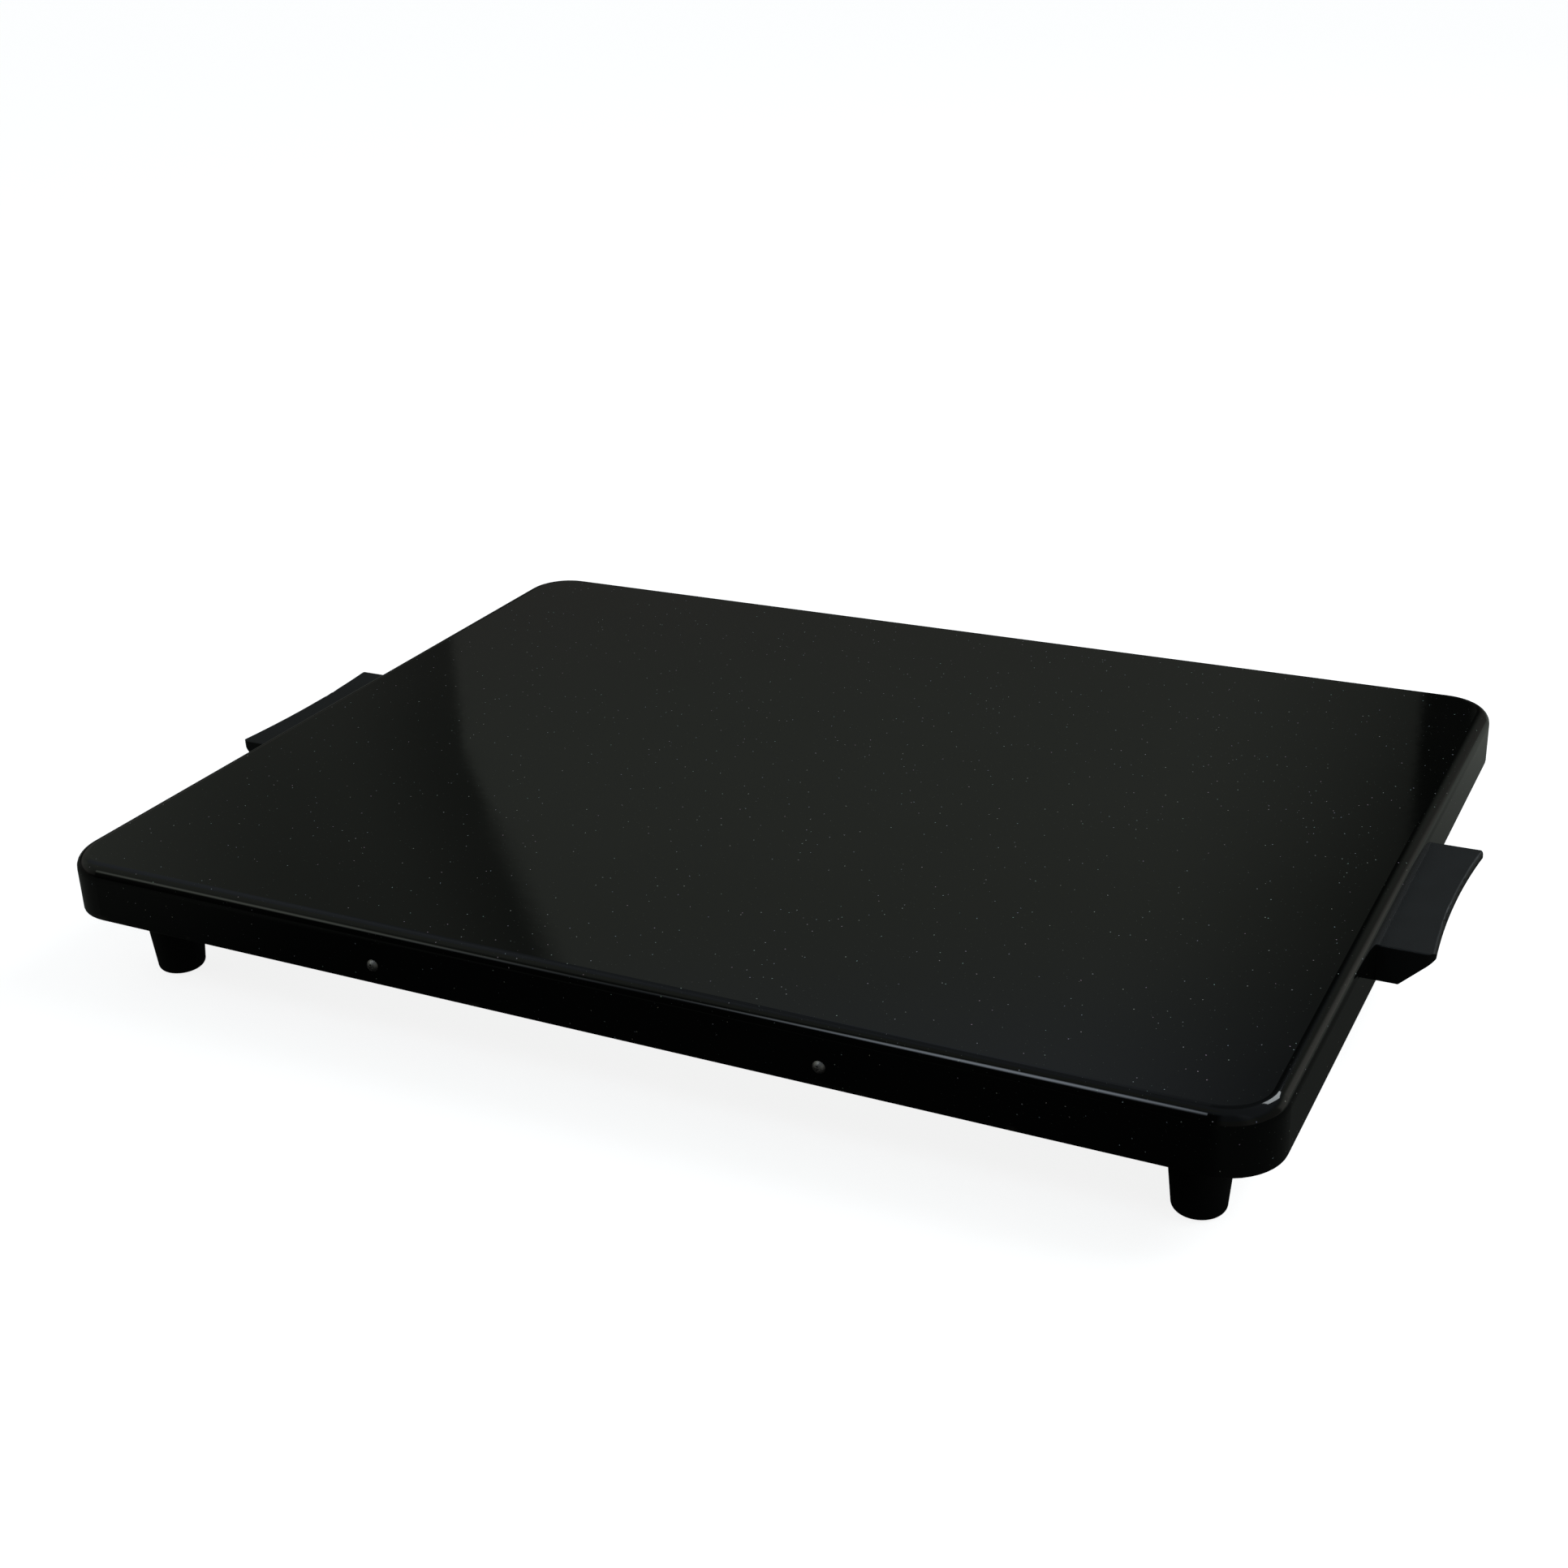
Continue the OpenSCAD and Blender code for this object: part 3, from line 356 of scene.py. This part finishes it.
# ---- Limiter ----
# A sealed disc thermostat cuts the current if the plate gets too hot. Its aluminium case sits on
# the clamp plate, and its phenolic body carries two blades for push-on receptacles.
def moulding(name, dark, light, roughness):
    """Moulded plastic or rubber, with a fine matt grain."""
    finish = Finish(name)
    grain = cloud(finish, 1800, 3)
    finish.set(Base_Color=finish.mix(cloud(finish, 120, 3), dark, light),
               Roughness=roughness - 0.08 + grain * 0.16)
    bump(finish, grain, 0.00004, 0.5)
    return finish


coat(aluminium, "limiter_case")
coat(moulding("brown_phenolic", (0.10, 0.055, 0.035, 1), (0.17, 0.10, 0.065, 1), 0.35), "limiter_body")
coat(zinc, "limiter_blades", "limiter_studs", "limiter_nuts")
coat(brass, "limiter_receptacles")


# ---- Terminal block ----
# A three-way steatite block joins the cord to the leads. Brass tubes with clamping screws pass
# through it, and two screws hold it to the base cover.
coat(steatite, "terminal_block")
coat(brass, "block_tubes")
coat(zinc, "block_screws", "block_mount_screws")


# ---- Earth stud ----
# A brass stud welded to the pan takes the earth lead's ring lug between two nuts.
coat(brass, "earth_stud", "earth_nuts")
coat(zinc, "earth_lug")


# ---- Leads ----
# Stranded copper in silicone rubber: brown for live and its link to the element, blue for neutral,
# and green with yellow bands for earth.
coat(moulding("lead_brown", (0.17, 0.06, 0.03, 1), (0.25, 0.10, 0.05, 1), 0.4), "lead_live", "lead_link")
coat(moulding("lead_blue", (0.04, 0.13, 0.38, 1), (0.07, 0.19, 0.48, 1), 0.4), "lead_neutral")
earth = Finish("lead_green_yellow")
band = earth.node("ShaderNodeTexWave", {"wave_type": "BANDS", "bands_direction": "DIAGONAL"},
                  {"Vector": earth.place, "Scale": 90}, output="Fac")
earth.set(Base_Color=earth.mix(band.rises(0.55, 0.65), (0.06, 0.26, 0.05, 1), (0.75, 0.62, 0.05, 1)),
          Roughness=0.34 + cloud(earth, 900, 3) * 0.14)
coat(earth, "lead_earth")


# ---- Cord gland ----
# A black nylon gland in the rear skirt is where the mains cord enters. Its cap squeezes a rubber
# seal round the cord, and a locknut holds it from inside.
coat(moulding("gland_nylon", (0.016, 0.016, 0.016, 1), (0.028, 0.028, 0.028, 1), 0.45),
     "gland_body", "gland_cap", "gland_locknut")
coat(moulding("gland_rubber", (0.03, 0.03, 0.03, 1), (0.05, 0.05, 0.05, 1), 0.75), "gland_seal")


# ---- Insulation blanket ----
# A soft blanket of mineral wool keeps the heat out of the base. It is cut with a knife and laid
# loose on the base cover, so its edges are fluffy and its faces hummocky.
blanket_pull = 0.004        # most that an edge is drawn in
blanket_shy = 0.004         # how much smaller than its space the batt is cut
rim = 0.003                 # width of the strip that counts as its edge
hummock = 0.0016
low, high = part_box("insulation_blanket")
middle = (low + high) / 2
shape = bmesh.new()
bmesh.ops.create_cube(shape, size=1)
bmesh.ops.scale(shape, vec=high - low - Vector((blanket_shy, blanket_shy, 2 * hummock)), verts=shape.verts)
bmesh.ops.translate(shape, vec=middle, verts=shape.verts)
bmesh.ops.subdivide_edges(shape, edges=[edge for edge in shape.edges if edge.calc_length() > 0.05],
                          cuts=44, use_grid_fill=True)
for vert in shape.verts:
    vert.co.z += hummock * 0.6 * (noise.noise(vert.co * 38) + 0.5 * noise.noise(vert.co * 110))
    for axis in (0, 1):
        if abs(vert.co[axis] - middle[axis]) > (high[axis] - low[axis]) / 2 - rim:
            pull = blanket_pull * (0.5 + 0.5 * noise.noise(vert.co * 60 + Vector((axis, 7, 3))))
            vert.co[axis] -= math.copysign(pull, vert.co[axis] - middle[axis])
bmesh.ops.recalc_face_normals(shape, faces=shape.faces)
for face in shape.faces:
    face.smooth = True
mesh = bpy.data.meshes.new("wool_blanket")
shape.to_mesh(mesh)
shape.free()
blanket = bpy.data.objects.new("wool_blanket", mesh)
scene.collection.objects.link(blanket)
wool = Finish("mineral_wool", Specular_IOR_Level=0.2, Roughness=0.95)
strands = wool.node("ShaderNodeMapping", None, {"Vector": wool.place, "Scale": (3, 14, 14)})
tufts = cloud(wool, 70, 6, strands) * 0.55 + cloud(wool, 900, 5) * 0.45
wool.set(Base_Color=wool.mix(tufts, (0.50, 0.46, 0.36, 1), (0.86, 0.83, 0.74, 1)))
bump(wool, tufts, 0.0012, 0.8)
mesh.materials.append(wool.material)
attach(blanket, "root")
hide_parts("insulation_blanket")


# ---- Base cover ----
# A folded tray of galvanised sheet closes the pan from below, with vent slots, and four domed
# nickel-plated screws hold it through the skirt. The zinc shows its spangle: flat grey crystals.
galvanised = Finish("galvanised_sheet", Metallic=0.9)
crystals = galvanised.node("ShaderNodeTexVoronoi", None, {"Vector": galvanised.place, "Scale": 110},
                           output="Color")
crystal_tone = galvanised.node("ShaderNodeSeparateColor", None, {"Color": crystals})
galvanised.set(Base_Color=galvanised.mix(crystal_tone, (0.34, 0.35, 0.36, 1), (0.50, 0.51, 0.52, 1)),
               Roughness=0.30 + crystal_tone * 0.16)
bump(galvanised, cloud(galvanised, 35), 0.0002, 0.3)
coat(galvanised, "base_cover")
coat(metal("dulled_nickel", (0.62, 0.60, 0.57, 1), (0.40, 0.39, 0.37, 1), 0.48), "cover_screws")


# ---- Feet ----
# Four tapered feet are moulded in black phenolic, each held by a screw from below through the base
# cover, with a washer and nut inside.
foot = Finish("foot_black")
grain = cloud(foot, 2200, 3)
foot.set(Base_Color=foot.mix(cloud(foot, 80, 3).rises(0.3, 0.8), (0.003, 0.003, 0.003, 1),
                             (0.006, 0.006, 0.006, 1)),
         Roughness=0.5 + grain * 0.15)
bump(foot, grain, 0.00005, 0.5)
coat(foot, "foot_front_left", "foot_front_right", "foot_rear_left", "foot_rear_right")
coat(zinc, "foot_screws", "foot_washers", "foot_nuts")
